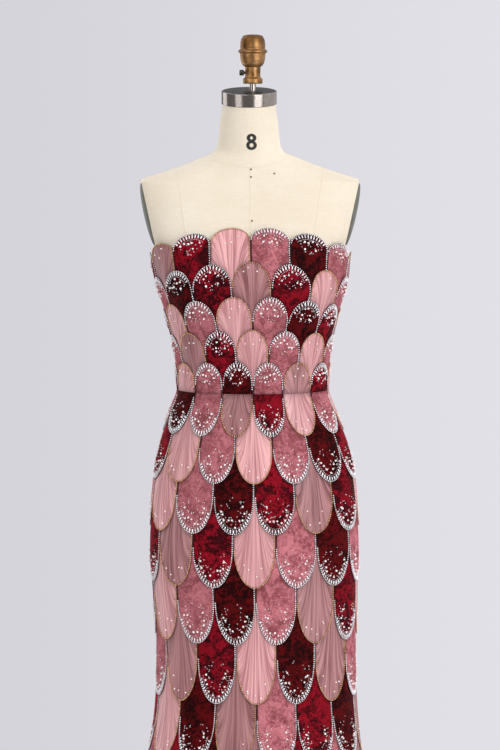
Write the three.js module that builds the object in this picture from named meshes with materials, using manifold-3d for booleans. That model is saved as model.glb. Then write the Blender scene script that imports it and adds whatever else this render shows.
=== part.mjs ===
// A strapless mermaid gown of overlapping scales, worn by a limbless dress form on a plain stand.
// Millimetres, +Z up. The front faces -Y, and the origin is on the floor under the stand's pole.
import * as THREE from "three";
import { mergeVertices } from "three/addons/utils/BufferGeometryUtils.js";
import Module from "manifold-3d";

const wasm = await Module();
wasm.setup();

// Heights of the gown and the form
const waistZ = 1080;
const hemZ = 15;
const formBottomZ = 800;
const capBottomZ = 1541;

// The cloth
const wall = 1.2;
const ease = 2.3; // between the form and the cloth's inside
const seamGap = 0.3;

// Scales, in rows that are offset by half a scale from each other
const scalesRound = 14;
const columnsPerScale = 4;
const columns = scalesRound * columnsPerScale;
const tipRelief = 1.6;
const rootRelief = 0.2;
const riserHeight = 3;

// The bodice, whose scales point up
const bodiceRows = 5;
const topFront = 1345;
const topBack = 1265;
const topCurve = 1.8; // the higher, the further round the front stays high
const topScallop = 20;

// The skirt, whose scales point down
const skirtRows = 11;
const firstSkirtRow = 74;
const rowGrowth = 1.06;
const tongueShare = 0.75; // a scale's free tip, as a share of its row's height
const hemBand = 12;

// Soft flutes in the flare
const flutes = 7;
const fluteTopZ = 500;
const fluteDepth = 15;

// The bust, two soft mounds on the front
const bust = { z: 1248, s: 0.092, height: 9, spreadZ: 48, spreadS: 0.056 };

// Level sections of the form's body, and of the same shape carried on to the hem
const sections = [
  { z: 15, halfWidth: 300, front: 298, back: 304, shift: 0, squareness: 2 },
  { z: 180, halfWidth: 248, front: 240, back: 246, shift: 0, squareness: 2 },
  { z: 350, halfWidth: 197, front: 180, back: 186, shift: 1, squareness: 2 },
  { z: 495, halfWidth: 167, front: 138, back: 142, shift: 4, squareness: 2 },
  { z: 576, halfWidth: 158, front: 123, back: 124, shift: 5.5, squareness: 2.05 },
  { z: 641, halfWidth: 156.5, front: 119, back: 121, shift: 5.5, squareness: 2.1 },
  { z: 706, halfWidth: 158.5, front: 118, back: 126, shift: 5, squareness: 2.15 },
  { z: 835, halfWidth: 163.5, front: 114, back: 136, shift: 2.5, squareness: 2.2 },
  { z: 933, halfWidth: 158.5, front: 108, back: 127, shift: 2.5, squareness: 2.2 },
  { z: 997, halfWidth: 145, front: 100, back: 111, shift: 1.5, squareness: 2.2 },
  { z: 1040, halfWidth: 131, front: 94, back: 98, shift: 0, squareness: 2.2 },
  { z: 1075, halfWidth: 119.5, front: 90, back: 89, shift: 0, squareness: 2.2 },
  { z: 1105, halfWidth: 118, front: 90, back: 88, shift: 0, squareness: 2.2 },
  { z: 1159, halfWidth: 124.5, front: 100, back: 95, shift: -1, squareness: 2.3 },
  { z: 1224, halfWidth: 140, front: 116, back: 105, shift: -1.5, squareness: 2.3 },
  { z: 1256, halfWidth: 150, front: 118, back: 108, shift: -2, squareness: 2.28 },
  { z: 1290, halfWidth: 154.5, front: 115, back: 108, shift: -3.5, squareness: 2.34 },
  { z: 1313, halfWidth: 158.5, front: 108, back: 105, shift: -4.2, squareness: 2.5 },
  { z: 1335, halfWidth: 168, front: 99, back: 101, shift: -4.2, squareness: 2.6 },
  { z: 1363, halfWidth: 176, front: 87, back: 95, shift: -4.2, squareness: 2.7 },
  { z: 1395, halfWidth: 181.5, front: 73, back: 87, shift: -4.2, squareness: 2.9 },
  { z: 1415, halfWidth: 183, front: 63, back: 79, shift: -4.5, squareness: 2.9 },
  { z: 1423, halfWidth: 163.5, front: 59, back: 75, shift: -5, squareness: 2.5 },
  { z: 1436, halfWidth: 123, front: 55, back: 71, shift: -5, squareness: 2.2 },
  { z: 1451, halfWidth: 84.5, front: 51, back: 65, shift: -5.5, squareness: 2 },
  { z: 1466, halfWidth: 53.5, front: 48, back: 60, shift: -6, squareness: 2 },
  { z: 1483, halfWidth: 49, front: 46.5, back: 56, shift: -6, squareness: 2 },
  { z: 1510, halfWidth: 46.3, front: 45.5, back: 48, shift: -6, squareness: 2 },
  { z: 1535, halfWidth: 43, front: 43, back: 43, shift: -6, squareness: 2 },
  { z: 1575, halfWidth: 43, front: 43, back: 43, shift: -6, squareness: 2 },
];

// The form's rings, closer where its outline turns
const formRings = [
  formBottomZ, 835, 890, 935, 970, 1000, 1030, 1055, 1080, 1105, 1135, 1170, 1205, 1235, 1256,
  1280, 1300, 1320, 1342, 1370, 1400, 1415, 1423, 1430, 1438, 1451, 1458, 1466, 1483, 1510, 1533,
  1575,
];
const formColumns = 48;

// Armholes, cut by planes that lean in at the bottom, and the domed plates that close them
const armhole = { z: 1363, halfWidth: 162.9, lean: THREE.MathUtils.degToRad(12.5), y: 3 };
const armPlate = { halfHeight: 52, halfDepth: 42, rim: 1.6, dome: 6.5, rings: 4, columns: 24 };
const cutterSize = 200; // of the cubes that cut the form's flats

// Neck cap, tipped towards the front, and the rod, finial and thumb screw above it
const cap = { radius: 44.3, height: 21, tip: THREE.MathUtils.degToRad(7.5), x: -6, edge: 1.2 };
const rodRadius = 5.3;
const finialBoreRadius = 5.7;
const finialBoreTop = 1600;
const finialProfile = [
  { radius: 15, z: 1573.1 },
  { radius: 15.8, z: 1574.9 },
  { radius: 15.8, z: 1581 },
  { radius: 12.6, z: 1583.1 },
  { radius: 12.2, z: 1586.8 },
  { radius: 12.4, z: 1599.9 },
  { radius: 15.5, z: 1602.1 },
  { radius: 17.8, z: 1605.4 },
  { radius: 19.8, z: 1611.9 },
  { radius: 20.4, z: 1622.1 },
  { radius: 23.6, z: 1623.5 },
  { radius: 23.4, z: 1625.9 },
  { radius: 19.6, z: 1629 },
  { radius: 20.3, z: 1632.6 },
  { radius: 19.8, z: 1639.4 },
  { radius: 18.5, z: 1645.2 },
  { radius: 15, z: 1650.2 },
  { radius: 8, z: 1651.8 },
  { radius: 0, z: 1652 },
];
const thumbScrew = {
  z: 1590.8, shankRadius: 2, headRadius: 4.7, neckEnd: 13.4, headEnd: 21.6, bevel: 1,
};
const screwHole = { radius: 2.4, length: 20 };

// The zip's slider and its pull, at the top of the seam down the back
const slider = { z: 1226, width: 7, thickness: 2.4, length: 10 };
const bridge = {
  width: 2, halfLength: 4, opening: 2.6, reach: 3.8, thickness: 1.4, sunk: 1,
};
const pull = {
  width: 5.4, length: 25, thickness: 1.2, bar: 1.4, window: 5.6, windowWidth: 3.2,
  shoulderX: 2.43, shoulderY: -7.1, waistX: 1.35, waistY: -11.6,
};

// The stand
const stand = {
  legReach: 235, legWidth: 46, legThickness: 14,
  hubRadius: 42, hubHeight: 46, hubRim: 8, hubCollar: 8,
};
const poleRadius = 14;

const backSeam = 0.5; // the share of the girth at the centre back, counted from the centre front

// A smooth curve through one column of the sections, with no overshoot (monotone cubic).
function column(name, z) {
  let i = 0;
  while (i < sections.length - 2 && z > sections[i + 1].z) i++;
  const slope = (a) =>
    (sections[a + 1][name] - sections[a][name]) / (sections[a + 1].z - sections[a].z);
  const tangent = (a) => {
    if (a === 0) return slope(0);
    if (a === sections.length - 1) return slope(a - 1);
    const before = slope(a - 1);
    const after = slope(a);
    return before * after <= 0 ? 0 : (2 * before * after) / (before + after);
  };
  const span = sections[i + 1].z - sections[i].z;
  const t = THREE.MathUtils.clamp((z - sections[i].z) / span, 0, 1);
  const low = sections[i][name];
  const high = sections[i + 1][name];
  return (
    low * (1 + 2 * t) * (1 - t) ** 2 +
    high * t * t * (3 - 2 * t) +
    span * (tangent(i) * t * (1 - t) ** 2 - tangent(i + 1) * t * t * (1 - t))
  );
}

// The point of the level section at height z, at share s of its girth from the centre front
// (positive towards +X). The section is two half superellipses that meet at the sides.
const outlineSteps = 96;
const outlines = new Map();
function outline(z) {
  const key = z.toFixed(3);
  if (outlines.has(key)) return outlines.get(key);
  const halfWidth = column("halfWidth", z);
  const front = column("front", z);
  const back = column("back", z);
  const power = 2 / column("squareness", z);
  const points = [];
  let length = 0;
  for (let i = 0; i <= outlineSteps; i++) {
    const angle = (Math.PI * i) / outlineSteps;
    const across = Math.abs(Math.sin(angle)) ** power;
    const along = Math.abs(Math.cos(angle)) ** power;
    const x = halfWidth * across;
    const y = angle < Math.PI / 2 ? -front * along : back * along;
    if (i > 0) length += Math.hypot(x - points[i - 1].x, y - points[i - 1].y);
    points.push({ x, y, length });
  }
  const made = { points, length };
  outlines.set(key, made);
  return made;
}

// Outward swell of the body at (s, z): the bust's two mounds and the flare's flutes.
function swell(s, z) {
  const side = Math.abs(Math.abs(s) - bust.s) / bust.spreadS;
  const up = (z - bust.z) / bust.spreadZ;
  const mound = bust.height * Math.exp(-side * side - up * up);
  const down = THREE.MathUtils.clamp((fluteTopZ - z) / (fluteTopZ - hemZ), 0, 1);
  return mound + fluteDepth * down ** 1.5 * Math.cos(2 * Math.PI * flutes * s);
}

function sectionPoint(s, z) {
  const turned = s - Math.round(s);
  const { points, length } = outline(z);
  const target = Math.abs(turned) * 2 * length;
  let i = 1;
  while (i < points.length - 1 && points[i].length < target) i++;
  const a = points[i - 1];
  const b = points[i];
  const t = (target - a.length) / (b.length - a.length);
  const x = (a.x + (b.x - a.x) * t) * (turned < 0 ? -1 : 1);
  return new THREE.Vector3(x + column("shift", z), a.y + (b.y - a.y) * t, z);
}

// The body's surface at (s, z), moved outwards along its normal.
function surface(s, z, outward = 0) {
  const ds = 0.01;
  const dz = 2;
  const round = sectionPoint(s + ds, z).sub(sectionPoint(s - ds, z));
  const up = sectionPoint(s, z + dz).sub(sectionPoint(s, z - dz));
  const normal = round.cross(up).normalize();
  return sectionPoint(s, z).addScaledVector(normal, outward + swell(s, z));
}

const girth = (z) => 2 * outline(z).length;

// The height of a scale's rounded tip above its notches, from 0 to 1, in a row shifted by half a
// scale when its number is odd.
function tip(s, row) {
  const t = s * scalesRound + (row % 2 ? 0.5 : 0);
  const across = 2 * (t - Math.floor(t)) - 1;
  return Math.sqrt(Math.max(0, 1 - across * across));
}

const neckline = (s) => {
  return topFront - (topFront - topBack) * Math.abs(Math.sin(Math.PI * s)) ** topCurve;
};

// Rings of a panel from its first scale row on. Each ring gives a height at s, the relief there,
// and whether the plain inside has the ring too.
function bodiceRings() {
  const rings = [];
  const base = (row, s) => waistZ + (neckline(s) - waistZ) * (1 - row / bodiceRows);
  const edge = (row, s) => {
    const free = row === 0 ? topScallop : (tongueShare * (neckline(s) - waistZ)) / bodiceRows;
    return base(row, s) - free * (1 - tip(s, row));
  };
  for (let row = 0; row < bodiceRows; row++) {
    if (row > 0) {
      rings.push({ z: (s) => edge(row, s) + riserHeight, relief: rootRelief, inside: false });
    }
    rings.push({ z: (s) => edge(row, s), relief: tipRelief, inside: true });
    const next = (s) => (row === bodiceRows - 1 ? waistZ : edge(row + 1, s) + riserHeight);
    rings.push({
      z: (s) => (edge(row, s) + next(s)) / 2,
      relief: (tipRelief + rootRelief) / 2,
      inside: true,
    });
  }
  rings.push({ z: () => waistZ + seamGap / 2, relief: rootRelief, inside: true });
  return rings.reverse();
}

// Notch heights of the skirt's rows, with a row's height measured along the slope of the side.
function skirtRowHeights() {
  const heights = [waistZ];
  let size = firstSkirtRow;
  for (let row = 0; row < skirtRows; row++) {
    const z = heights[row];
    const slope = (column("halfWidth", z - size) - column("halfWidth", z)) / size;
    heights.push(z - size / Math.hypot(1, slope));
    size *= rowGrowth;
  }
  const stretch = (waistZ - hemZ - hemBand) / (waistZ - heights[skirtRows]);
  return heights.map((z) => waistZ - (waistZ - z) * stretch);
}

function skirtRings() {
  const heights = skirtRowHeights();
  const edge = (row, s) => {
    const size = heights[row] - heights[row + 1];
    return heights[row] - size * (1 - tongueShare) - size * tongueShare * tip(s, row);
  };
  const rings = [{ z: () => waistZ - seamGap / 2, relief: rootRelief, inside: true }];
  for (let row = 0; row < skirtRows; row++) {
    const before = (s) => (row === 0 ? waistZ : edge(row - 1, s) - riserHeight);
    rings.push({
      z: (s) => (before(s) + edge(row, s)) / 2,
      relief: (tipRelief + rootRelief) / 2,
      inside: true,
    });
    rings.push({ z: (s) => edge(row, s), relief: tipRelief, inside: true });
    rings.push({ z: (s) => edge(row, s) - riserHeight, relief: rootRelief, inside: false });
  }
  rings.push({ z: () => hemZ, relief: rootRelief, inside: true });
  return rings.reverse();
}

// A cloth panel between two columns: an outer wall with the scales' relief, a plain inside, and
// rims. Rings run from the bottom up.
function panel(rings, firstColumn, lastColumn) {
  const positions = [];
  const faces = [];
  const width = lastColumn - firstColumn;
  const place = (ring, c, outward) => {
    let s = (firstColumn + c) / columns;
    const z = ring.z(s);
    const nudge = seamGap / 2 / girth(z);
    if (c === 0) s += nudge;
    if (c === width) s -= nudge;
    const p = surface(s, z, outward);
    return positions.push(p.x, p.y, p.z) / 3 - 1;
  };
  const line = (ring, outward) =>
    Array.from({ length: width + 1 }, (_, c) => place(ring, c, outward));
  const point = (i) => new THREE.Vector3().fromArray(positions, i * 3);
  // Splits a quad, whose corners run counterclockwise, along its shorter diagonal.
  const quad = (a, b, c, d) => {
    if (point(a).distanceTo(point(c)) <= point(b).distanceTo(point(d))) {
      faces.push(a, b, c, a, c, d);
    } else faces.push(a, b, d, b, c, d);
  };
  const outer = rings.map((ring) => line(ring, ease + wall + ring.relief));
  const inner = rings.filter((ring) => ring.inside).map((ring) => line(ring, ease));
  // The number of inner rings passed at each outer ring
  let passed = -1;
  const partner = rings.map((ring) => {
    if (ring.inside) passed++;
    return ring.inside ? passed : passed + 1;
  });
  for (let c = 0; c < width; c++) {
    for (let r = 0; r + 1 < outer.length; r++) {
      quad(outer[r][c], outer[r][c + 1], outer[r + 1][c + 1], outer[r + 1][c]);
    }
    for (let r = 0; r + 1 < inner.length; r++) {
      quad(inner[r][c + 1], inner[r][c], inner[r + 1][c], inner[r + 1][c + 1]);
    }
    const top = outer.length - 1;
    const innerTop = inner.length - 1;
    quad(inner[0][c], inner[0][c + 1], outer[0][c + 1], outer[0][c]);
    quad(outer[top][c], outer[top][c + 1], inner[innerTop][c + 1], inner[innerTop][c]);
  }
  for (let r = 0; r + 1 < outer.length; r++) {
    const a = partner[r];
    const b = partner[r + 1];
    for (const [c, facing] of [[0, 1], [width, -1]]) {
      const corners = [inner[a][c], outer[r][c], outer[r + 1][c]];
      if (b !== a) corners.push(inner[b][c]);
      if (facing < 0) corners.reverse();
      if (corners.length === 3) faces.push(...corners);
      else quad(...corners);
    }
  }
  const geometry = new THREE.BufferGeometry();
  geometry.setAttribute("position", new THREE.Float32BufferAttribute(positions, 3));
  geometry.setIndex(faces);
  return geometry;
}

// To and from the form in which solids are cut and joined
function toSolid(geometry) {
  const bare = new THREE.BufferGeometry();
  bare.setAttribute("position", geometry.getAttribute("position"));
  bare.setIndex(geometry.getIndex());
  const merged = mergeVertices(bare, 1e-3);
  return new wasm.Manifold(
    new wasm.Mesh({
      numProp: 3,
      vertProperties: merged.attributes.position.array,
      triVerts: new Uint32Array(merged.index.array),
    }),
  );
}

function toGeometry(solid) {
  const made = solid.getMesh();
  const geometry = new THREE.BufferGeometry();
  geometry.setAttribute("position", new THREE.Float32BufferAttribute(made.vertProperties, 3));
  geometry.setIndex(new THREE.BufferAttribute(made.triVerts, 1));
  return geometry;
}

// A turned solid about +Z, from a profile of radii and heights that starts and ends on the axis.
function turned(profile, segments) {
  const points = profile.map((p) => new THREE.Vector2(p.radius, p.z));
  return new THREE.LatheGeometry(points, segments).rotateX(Math.PI / 2);
}

const box = (x, y, z) => new THREE.BoxGeometry(x, y, z);

// Turns +X outwards and down at the right armhole, and the mirror of that at the left one.
function atArmhole(geometry, side, outward) {
  geometry.rotateY(side > 0 ? armhole.lean : Math.PI - armhole.lean);
  const reach = outward * Math.cos(armhole.lean);
  const x = column("shift", armhole.z) + side * (armhole.halfWidth + reach);
  return geometry.translate(x, armhole.y, armhole.z - outward * Math.sin(armhole.lean));
}

function formBody() {
  const positions = [];
  const faces = [];
  for (const z of formRings) {
    for (let c = 0; c < formColumns; c++) {
      positions.push(...surface(c / formColumns, z).toArray());
    }
  }
  const last = formRings.length - 1;
  const bottom = positions.push(column("shift", formBottomZ), 0, formBottomZ) / 3 - 1;
  const top = positions.push(cap.x, 0, formRings[last]) / 3 - 1;
  for (let c = 0; c < formColumns; c++) {
    const next = (c + 1) % formColumns;
    for (let r = 0; r < last; r++) {
      const a = r * formColumns;
      const b = a + formColumns;
      faces.push(a + c, a + next, b + next, a + c, b + next, b + c);
    }
    faces.push(bottom, next, c, top, last * formColumns + c, last * formColumns + next);
  }
  const geometry = new THREE.BufferGeometry();
  geometry.setAttribute("position", new THREE.Float32BufferAttribute(positions, 3));
  geometry.setIndex(faces);
  const cutter = () => box(cutterSize, cutterSize, cutterSize);
  let solid = toSolid(geometry);
  for (const side of [-1, 1]) {
    solid = solid.subtract(toSolid(atArmhole(cutter(), side, cutterSize / 2)));
  }
  const above = cutter().translate(0, 0, cutterSize / 2).rotateX(cap.tip);
  return toGeometry(solid.subtract(toSolid(above.translate(cap.x, 0, capBottomZ - seamGap))));
}

// An oval dome on a short rim, facing out of the armhole.
function armPlateGeometry(side) {
  const profile = [{ radius: 0, z: 0 }, { radius: 1, z: 0 }];
  for (let i = 0; i < armPlate.rings; i++) {
    const angle = (Math.PI / 2) * (i / armPlate.rings);
    profile.push({ radius: Math.cos(angle), z: armPlate.rim + armPlate.dome * Math.sin(angle) });
  }
  profile.push({ radius: 0, z: armPlate.rim + armPlate.dome });
  const oval = turned(profile, armPlate.columns);
  const dome = oval.scale(armPlate.halfHeight, armPlate.halfDepth, 1);
  return atArmhole(dome.rotateY(Math.PI / 2), side, seamGap);
}

function capGeometry() {
  const { radius, height, edge } = cap;
  const profile = [
    { radius: 0, z: 0 },
    { radius, z: 0 },
    { radius, z: height - edge },
    { radius: radius - edge, z: height },
    { radius: 0, z: height },
  ];
  return turned(profile, 48).rotateX(cap.tip).translate(cap.x, 0, capBottomZ);
}

// A round rod whose foot is cut to the cap's slope.
function rodGeometry() {
  const capTop = (y) => capBottomZ + cap.height / Math.cos(cap.tip) + y * Math.tan(cap.tip);
  const rod = new THREE.CylinderGeometry(rodRadius, rodRadius, 1, 20).rotateX(Math.PI / 2);
  const position = rod.getAttribute("position");
  for (let i = 0; i < position.count; i++) {
    const foot = position.getZ(i) < 0;
    const z = foot ? capTop(position.getY(i)) + seamGap : finialBoreTop - seamGap;
    position.setZ(i, z);
  }
  return rod;
}

function finialGeometry() {
  const profile = [
    { radius: 0, z: finialBoreTop },
    { radius: finialBoreRadius, z: finialBoreTop },
    { radius: finialBoreRadius, z: finialProfile[0].z },
    ...finialProfile,
  ];
  const drill = new THREE.CylinderGeometry(screwHole.radius, screwHole.radius, screwHole.length, 16)
    .rotateZ(Math.PI / 2)
    .translate(-screwHole.length / 2, 0, thumbScrew.z);
  return toGeometry(toSolid(turned(profile, 24)).subtract(toSolid(drill)));
}

// The screw lies along -X, with its shank's end just clear of the rod.
function thumbScrewGeometry() {
  const { z, shankRadius, headRadius, neckEnd, headEnd, bevel } = thumbScrew;
  const profile = [
    { radius: 0, z: rodRadius + seamGap },
    { radius: shankRadius, z: rodRadius + seamGap },
    { radius: shankRadius, z: neckEnd },
    { radius: headRadius - bevel, z: neckEnd + bevel },
    { radius: headRadius, z: neckEnd + 2 * bevel },
    { radius: headRadius, z: headEnd - bevel },
    { radius: headRadius - bevel, z: headEnd },
    { radius: 0, z: headEnd },
  ];
  return turned(profile, 20).rotateY(-Math.PI / 2).translate(0, 0, z);
}

// The slider's face clears the highest relief beside it.
const sliderFace = () => surface(backSeam, slider.z, ease + wall + tipRelief).y + 2 * seamGap;

// The slider's block with a bridge over it that holds the pull's bar.
function sliderGeometry() {
  const face = sliderFace();
  const block = box(slider.width, slider.thickness, slider.length);
  block.translate(0, face + slider.thickness / 2, slider.z);
  const outer = box(bridge.width, bridge.reach + bridge.sunk, 2 * bridge.halfLength);
  outer.translate(0, face + slider.thickness + (bridge.reach - bridge.sunk) / 2, slider.z);
  const under = bridge.reach - bridge.thickness;
  const opening = box(2 * bridge.width, under, 2 * bridge.opening);
  opening.translate(0, face + slider.thickness + under / 2, slider.z);
  return toGeometry(toSolid(outer).subtract(toSolid(opening)).add(toSolid(block)));
}

// The height and reach of the bar that the pull swings on
const pullBarY = () =>
  sliderFace() + slider.thickness + (bridge.reach - bridge.thickness) / 2;

// A drop-shaped pull with a window at its top, whose upper bar lies under the bridge.
function pullGeometry() {
  const half = pull.width / 2;
  const barHalf = pull.bar / 2;
  const shape = new THREE.Shape();
  shape.moveTo(-pull.shoulderX, barHalf);
  shape.lineTo(-pull.shoulderX, pull.shoulderY);
  shape.lineTo(-pull.waistX, pull.waistY);
  shape.absarc(0, -pull.length + half, half, Math.PI, 2 * Math.PI, false);
  shape.lineTo(pull.waistX, pull.waistY);
  shape.lineTo(pull.shoulderX, pull.shoulderY);
  shape.lineTo(pull.shoulderX, barHalf);
  const window = new THREE.Path();
  const side = pull.windowWidth / 2;
  window.moveTo(-side, -barHalf);
  window.lineTo(side, -barHalf);
  window.lineTo(side, -pull.window);
  window.lineTo(-side, -pull.window);
  shape.holes.push(window);
  const flat = { depth: pull.thickness, bevelEnabled: false, curveSegments: 6 };
  return new THREE.ExtrudeGeometry(shape, flat)
    .rotateX(Math.PI / 2)
    .translate(0, pullBarY() + pull.thickness / 2, slider.z);
}

// Four flat legs in a cross, cut as one plate.
function legsGeometry() {
  const { legReach, legWidth, legThickness } = stand;
  const half = legWidth / 2;
  const shape = new THREE.Shape();
  shape.moveTo(half, half);
  for (let leg = 0; leg < 4; leg++) {
    const turn = (leg * Math.PI) / 2;
    const turnPoint = (x, y) => [
      x * Math.cos(turn) - y * Math.sin(turn),
      x * Math.sin(turn) + y * Math.cos(turn),
    ];
    const [x, y] = turnPoint(0, legReach - half);
    shape.absarc(x, y, half, turn, turn + Math.PI, false);
    shape.lineTo(...turnPoint(-half, half));
  }
  const flat = { depth: legThickness, bevelEnabled: false, curveSegments: 5 };
  const legs = new THREE.ExtrudeGeometry(shape, flat);
  return toGeometry(toSolid(legs));
}

function hubGeometry() {
  const { legThickness, hubRadius, hubHeight, hubRim, hubCollar } = stand;
  const bore = poleRadius + seamGap;
  const low = legThickness + seamGap;
  const high = legThickness + hubHeight;
  const profile = [
    { radius: bore, z: low },
    { radius: hubRadius, z: low },
    { radius: hubRadius, z: low + hubRim },
    { radius: bore + hubCollar, z: high },
    { radius: bore, z: high },
    { radius: bore, z: low },
  ];
  return turned(profile, 28);
}

function poleGeometry() {
  const low = stand.legThickness + seamGap;
  const high = formBottomZ - seamGap;
  const pole = new THREE.CylinderGeometry(poleRadius, poleRadius, high - low, 24);
  return pole.rotateX(Math.PI / 2).translate(0, 0, (low + high) / 2);
}

const finishes = {
  canvas: { color: 0xeee0c4, roughness: 0.9, metalness: 0 },
  steel: { color: 0xb8b4ae, roughness: 0.25, metalness: 1 },
  darkSteel: { color: 0x4a4845, roughness: 0.35, metalness: 1 },
  bronze: { color: 0x9c7440, roughness: 0.4, metalness: 0.9 },
  plate: { color: 0x77786f, roughness: 0.5, metalness: 0.3 },
  velvet: { color: 0x9a4a58, roughness: 0.85, metalness: 0 },
  stand: { color: 0x2b2b2d, roughness: 0.5, metalness: 0.4 },
};

const gown = new THREE.Group();
function add(name, geometry, finish) {
  const made = new THREE.Mesh(geometry, new THREE.MeshStandardMaterial(finishes[finish]));
  made.name = name;
  gown.add(made);
}

const quarter = columns / 4;
const half = columns / 2;
const bodice = bodiceRings();
const skirt = skirtRings();
add("bodice_front", panel(bodice, -quarter, quarter), "velvet");
add("bodice_back_right", panel(bodice, quarter, half), "velvet");
add("bodice_back_left", panel(bodice, half, half + quarter), "velvet");
add("skirt_front", panel(skirt, -quarter, quarter), "velvet");
add("skirt_back_right", panel(skirt, quarter, half), "velvet");
add("skirt_back_left", panel(skirt, half, half + quarter), "velvet");
add("zip_slider", sliderGeometry(), "darkSteel");
add("zip_pull", pullGeometry(), "darkSteel");
add("form_body", formBody(), "canvas");
add("arm_plate_left", armPlateGeometry(-1), "plate");
add("arm_plate_right", armPlateGeometry(1), "plate");
add("neck_cap", capGeometry(), "steel");
add("neck_rod", rodGeometry(), "steel");
add("finial", finialGeometry(), "bronze");
add("thumb_screw", thumbScrewGeometry(), "darkSteel");
add("stand_pole", poleGeometry(), "stand");
add("stand_hub", hubGeometry(), "stand");
add("stand_legs", legsGeometry(), "stand");

export default gown;
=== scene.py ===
import math

import bmesh
import bpy
import numpy as np
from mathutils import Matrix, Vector


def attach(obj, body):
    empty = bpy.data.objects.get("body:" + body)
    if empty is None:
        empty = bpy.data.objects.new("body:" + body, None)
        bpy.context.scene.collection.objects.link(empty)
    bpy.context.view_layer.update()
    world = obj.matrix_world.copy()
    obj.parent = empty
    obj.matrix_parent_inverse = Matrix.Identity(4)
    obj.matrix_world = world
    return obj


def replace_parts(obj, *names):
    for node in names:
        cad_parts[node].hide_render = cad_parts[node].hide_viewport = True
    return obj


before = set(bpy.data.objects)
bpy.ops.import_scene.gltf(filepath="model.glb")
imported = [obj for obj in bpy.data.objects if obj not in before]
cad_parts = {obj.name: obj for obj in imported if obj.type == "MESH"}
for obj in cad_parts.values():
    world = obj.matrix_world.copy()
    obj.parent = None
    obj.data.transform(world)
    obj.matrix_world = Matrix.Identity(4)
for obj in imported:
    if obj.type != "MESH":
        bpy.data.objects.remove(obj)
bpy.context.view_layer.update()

# A strapless mermaid gown of overlapping beaded scales, worn by a limbless dress form on a stand.
# Metres, +Z up, and the gown's front faces -Y. s is a share of the girth, counted from the centre
# front towards +X, so the side seams are at 0.25 and -0.25 and the centre back is at 0.5.

mainBody = "gown_and_form"
mm = 0.001
rng = np.random.default_rng(8)
print("frame loaded:", len(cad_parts), "nodes")


# Shader maths as Python expressions

def mathsNode(operation, swapped=False):
    # A method that adds this Math node; swapped puts the value itself last
    def apply(self, *others):
        values = [*others, self] if swapped else [self, *others]
        return self.finish.node("ShaderNodeMath", {"operation": operation}, values)

    return apply


class Value:
    # Wraps a node's socket; an operator adds the Math node that works it out
    def __init__(self, finish, socket):
        self.finish = finish
        self.socket = socket

    __add__ = __radd__ = mathsNode("ADD")
    __mul__ = __rmul__ = mathsNode("MULTIPLY")
    __sub__ = mathsNode("SUBTRACT")
    __rsub__ = mathsNode("SUBTRACT", swapped=True)
    __pow__ = mathsNode("POWER")
    sine = mathsNode("SINE")
    distance = mathsNode("ABSOLUTE")
    exponent = mathsNode("EXPONENT")
    arctan = mathsNode("ARCTAN2")

    def ramp(self, low, high):
        # 0 below low, 1 above high, and smooth between them
        settings = {"interpolation_type": "SMOOTHSTEP"}
        return self.finish.node("ShaderNodeMapRange", settings, [self, low, high, 0.0, 1.0])


class Finish:
    # A material in the making, or the world
    def __init__(self, name, world=None):
        self.material = world or bpy.data.materials.new(name)
        self.material.use_nodes = True
        self.tree = self.material.node_tree
        self.tree.nodes.clear()

    def node(self, kind, settings=None, values=None, output=0):
        # Values are numbers or links, in the order of the sockets or by their names
        made = self.tree.nodes.new(kind)
        for key, value in (settings or {}).items():
            setattr(made, key, value)
        named = values.items() if isinstance(values, dict) else enumerate(values or [])
        for key, value in named:
            if isinstance(value, Value):
                self.tree.links.new(value.socket, made.inputs[key])
            else:
                made.inputs[key].default_value = value
        return Value(self, made.outputs[output]) if len(made.outputs) else None

    def place(self):
        # The object's own coordinates, in metres
        return self.node("ShaderNodeTexCoord", output=3)

    def attribute(self, name, output=2):
        # A mesh attribute: a number, or a colour at output 0
        return self.node("ShaderNodeAttribute", {"attribute_name": name}, output=output)

    def parts(self, vector):
        # The x, y and z of a vector
        return [self.node("ShaderNodeSeparateXYZ", None, [vector], output=i) for i in range(3)]

    def noise(self, size, detail=3.0, roughness=0.5, distortion=0.0, at=None, stretch=(1, 1, 1)):
        # Noise whose features are about this many metres across
        place = {"Vector": at or self.place(), "Scale": stretch}
        return self.node("ShaderNodeTexNoise", None, {
            "Vector": self.node("ShaderNodeMapping", None, place), "Scale": 1 / size,
            "Detail": detail, "Roughness": roughness, "Distortion": distortion,
        })

    def mix(self, factor, first, second):
        # Colours: the first at factor 0 and the second at 1
        values = {0: factor, 6: first, 7: second}
        return self.node("ShaderNodeMix", {"data_type": "RGBA"}, values, output=2)

    def bump(self, height, distance, strength):
        # The normal, tilted by the slope of height times distance
        values = {"Height": height, "Distance": distance, "Strength": strength}
        return self.node("ShaderNodeBump", None, values)

    def shader(self, **values):
        # A Principled shader; an underscore is a space in a socket's name
        named = {key.replace("_", " "): value for key, value in values.items()}
        return self.node("ShaderNodeBsdfPrincipled", None, named)

    def done(self, surface=None, **values):
        # With values alone, the surface is a Principled shader of them
        self.node("ShaderNodeOutputMaterial", None, [surface or self.shader(**values)])
        return self.material


def colour(code):
    # A hex code as linear light
    parts = np.array([int(code[i:i + 2], 16) for i in (1, 3, 5)]) / 255
    linear = np.where(parts <= 0.04045, parts / 12.92, ((parts + 0.055) / 1.055) ** 2.4)
    return (*linear.tolist(), 1.0)


# Meshes from arrays

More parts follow.
